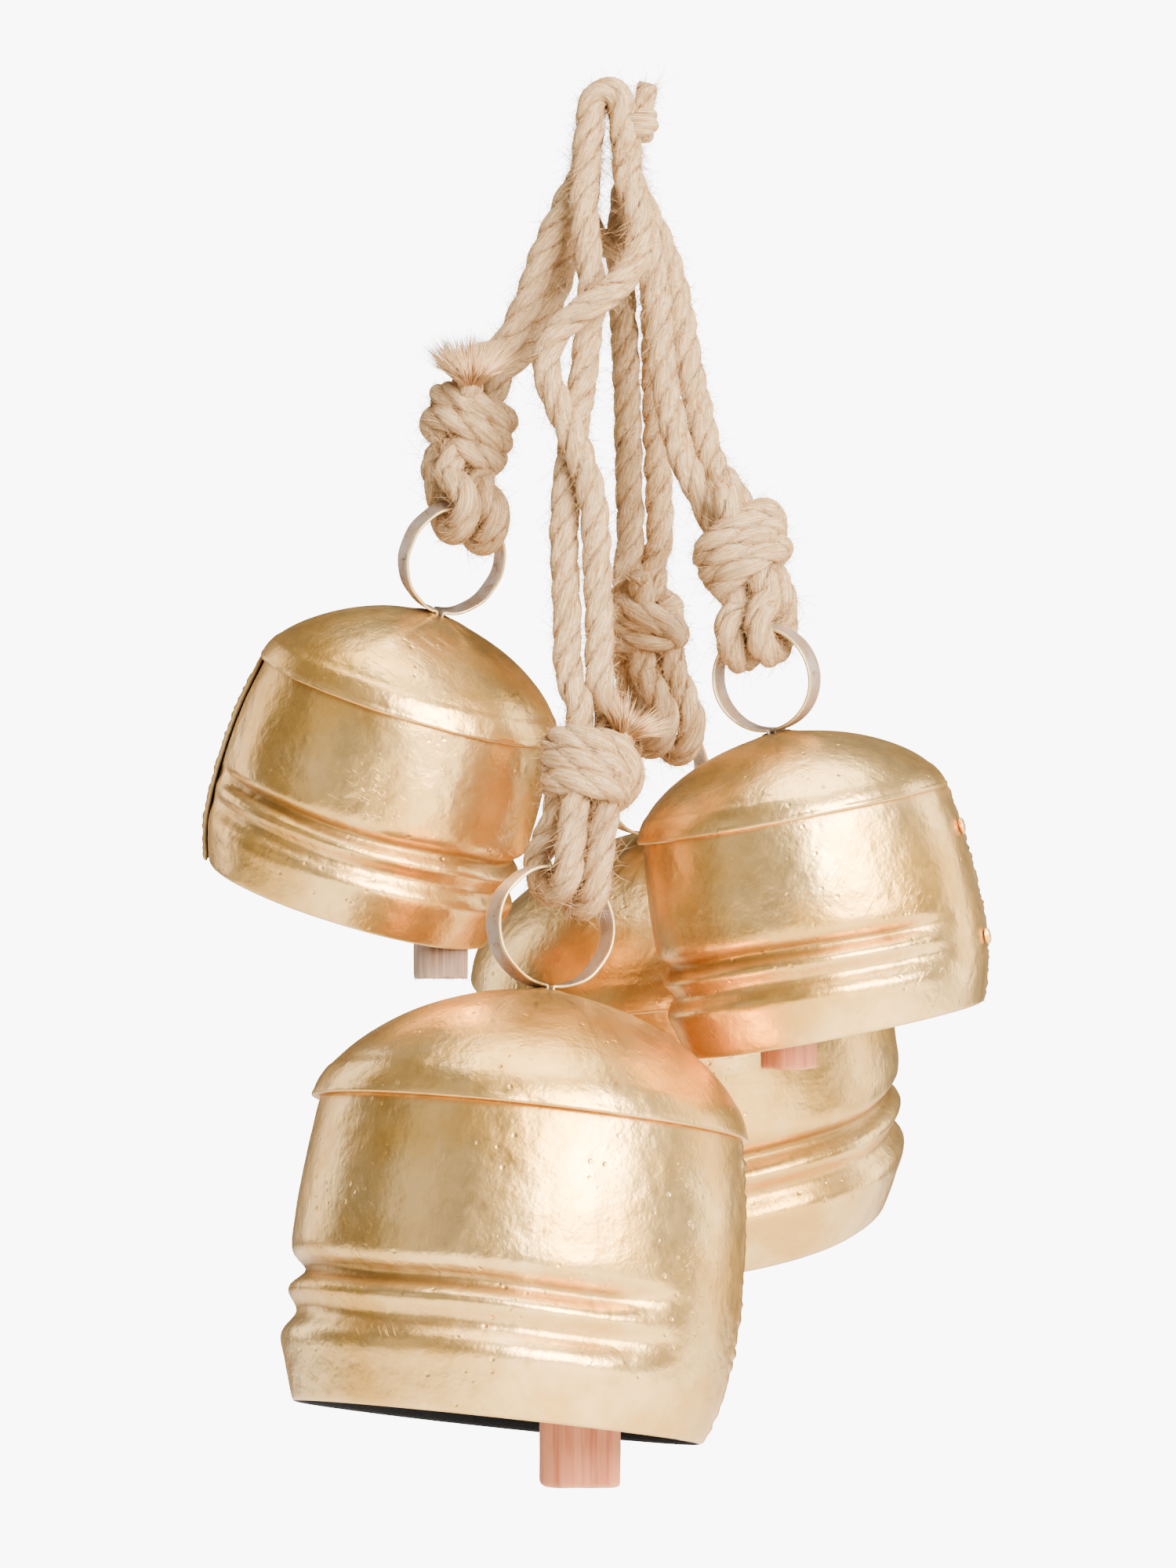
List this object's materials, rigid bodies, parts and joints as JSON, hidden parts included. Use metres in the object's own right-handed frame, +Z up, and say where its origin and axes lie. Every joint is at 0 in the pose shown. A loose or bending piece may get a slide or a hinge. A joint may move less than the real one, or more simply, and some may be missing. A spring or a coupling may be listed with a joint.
{
  "type": "bunch of hanging bells",
  "caption": "Rustic sheet-metal bells with domed crowns, ring straps and wooden clappers, hung in a bunch on knotted jute rope.",
  "frame": {"origin": "the point on a hook where the rope bights rest, between the second and third bight", "axes": "+Z up, -Y towards the front of the bunch, +X to the right seen from the front"},
  "size_m": [0.226, 0.2743, 0.4007],
  "materials": {
    "gold_sheet": "hammered sheet washed with gold-coloured metal, satin, uneven, sooty inside",
    "ring_strap": "dull pinkish strap with brighter edges",
    "hanger_wire": "dark drawn wire",
    "clapper_wood": "rough-sawn bare wood, vertical grain",
    "jute_rope": "natural laid jute, hairy"
  },
  "bodies": {
    "root": {"hanging_bight_1": "jute_rope", "hanging_bight_2": "jute_rope", "hanging_bight_3": "jute_rope", "hanging_bight_4": "jute_rope", "spare_end": "jute_rope", "spare_end_knot": "jute_rope"},
    "left_rope": {"left_strand_a": "jute_rope", "left_strand_b": "jute_rope", "left_knot": "jute_rope", "left_tail": "jute_rope", "left_loop_left": "jute_rope", "left_loop_right": "jute_rope"},
    "left_bell": {"left_crown": "gold_sheet", "left_shell": "gold_sheet", "left_ring": "ring_strap"},
    "left_clapper": {"left_clapper_wire": "hanger_wire", "left_clapper": "clapper_wood"},
    "right_rope": {"right_strand_a": "jute_rope", "right_strand_b": "jute_rope", "right_knot": "jute_rope", "right_tail": "jute_rope", "right_loop_left": "jute_rope", "right_loop_right": "jute_rope"},
    "right_bell": {"right_crown": "gold_sheet", "right_shell": "gold_sheet", "right_ring": "ring_strap", "right_seam_tack_upper": "gold_sheet", "right_seam_tack_lower": "gold_sheet"},
    "right_clapper": {"right_clapper_wire": "hanger_wire", "right_clapper": "clapper_wood"},
    "front_rope": {"front_strand_a": "jute_rope", "front_strand_b": "jute_rope", "front_knot": "jute_rope", "front_tail": "jute_rope", "front_loop_left": "jute_rope", "front_loop_right": "jute_rope"},
    "front_bell": {"front_crown": "gold_sheet", "front_shell": "gold_sheet", "front_ring": "ring_strap"},
    "front_clapper": {"front_clapper_wire": "hanger_wire", "front_clapper": "clapper_wood"},
    "back_rope": {"back_strand_a": "jute_rope", "back_strand_b": "jute_rope", "back_knot": "jute_rope", "back_tail": "jute_rope", "back_loop_left": "jute_rope", "back_loop_right": "jute_rope"},
    "back_bell": {"back_crown": "gold_sheet", "back_shell": "gold_sheet", "back_ring": "ring_strap"},
    "back_clapper": {"back_clapper_wire": "hanger_wire", "back_clapper": "clapper_wood"}
  },
  "joints": [
    {"name": "left_rope_swing", "type": "hinge", "parent": "root", "child": "left_rope", "pos_m": [-0.0059, 0, -0.0155], "axis": [0, 1, 0], "range_deg": [0, 25]},
    {"name": "left_bell_swing", "type": "hinge", "parent": "left_rope", "child": "left_bell", "pos_m": [-0.04481, -0.00397, -0.1301], "axis": [-0.4226, 0.9063, 0], "range_deg": [0, 18]},
    {"name": "left_clapper_swing", "type": "hinge", "parent": "left_bell", "child": "left_clapper", "pos_m": [-0.05206, -0.00051, -0.15366], "axis": [0.9037, 0.4281, 0], "range_deg": [0, 28]},
    {"name": "right_rope_swing", "type": "hinge", "parent": "root", "child": "right_rope", "pos_m": [0.0059, 0, -0.0155], "axis": [0, -1, 0], "range_deg": [0, 25]},
    {"name": "right_bell_swing", "type": "hinge", "parent": "right_rope", "child": "right_bell", "pos_m": [0.04528, -0.03503, -0.16534], "axis": [-0.4226, -0.9063, 0], "range_deg": [0, 18]},
    {"name": "right_clapper_swing", "type": "hinge", "parent": "right_bell", "child": "right_clapper", "pos_m": [0.04984, -0.03441, -0.18879], "axis": [0.9037, -0.4281, 0], "range_deg": [-13, 25]},
    {"name": "front_rope_swing", "type": "hinge", "parent": "root", "child": "front_rope", "pos_m": [0, -0.0126, -0.0155], "axis": [-1, 0, 0], "range_deg": [0, 25]},
    {"name": "front_bell_swing", "type": "hinge", "parent": "front_rope", "child": "front_bell", "pos_m": [-0.01641, -0.05383, -0.21722], "axis": [-0.866, -0.5, 0], "range_deg": [0, 8]},
    {"name": "front_clapper_swing", "type": "hinge", "parent": "front_bell", "child": "front_clapper", "pos_m": [-0.01877, -0.05763, -0.26146], "axis": [0.8647, 0.5023, 0], "range_deg": [-16, 9]},
    {"name": "back_rope_swing", "type": "hinge", "parent": "root", "child": "back_rope", "pos_m": [0, 0.0126, -0.0155], "axis": [1, 0, 0], "range_deg": [0, 25]},
    {"name": "back_bell_swing", "type": "hinge", "parent": "back_rope", "child": "back_bell", "pos_m": [0.01452, 0.05146, -0.17518], "axis": [0.866, 0.5, 0], "range_deg": [0, 11]},
    {"name": "back_clapper_swing", "type": "hinge", "parent": "back_bell", "child": "back_clapper", "pos_m": [0.01676, 0.05996, -0.21855], "axis": [0.8663, 0.4995, 0], "range_deg": [0, 19]}
  ]
}
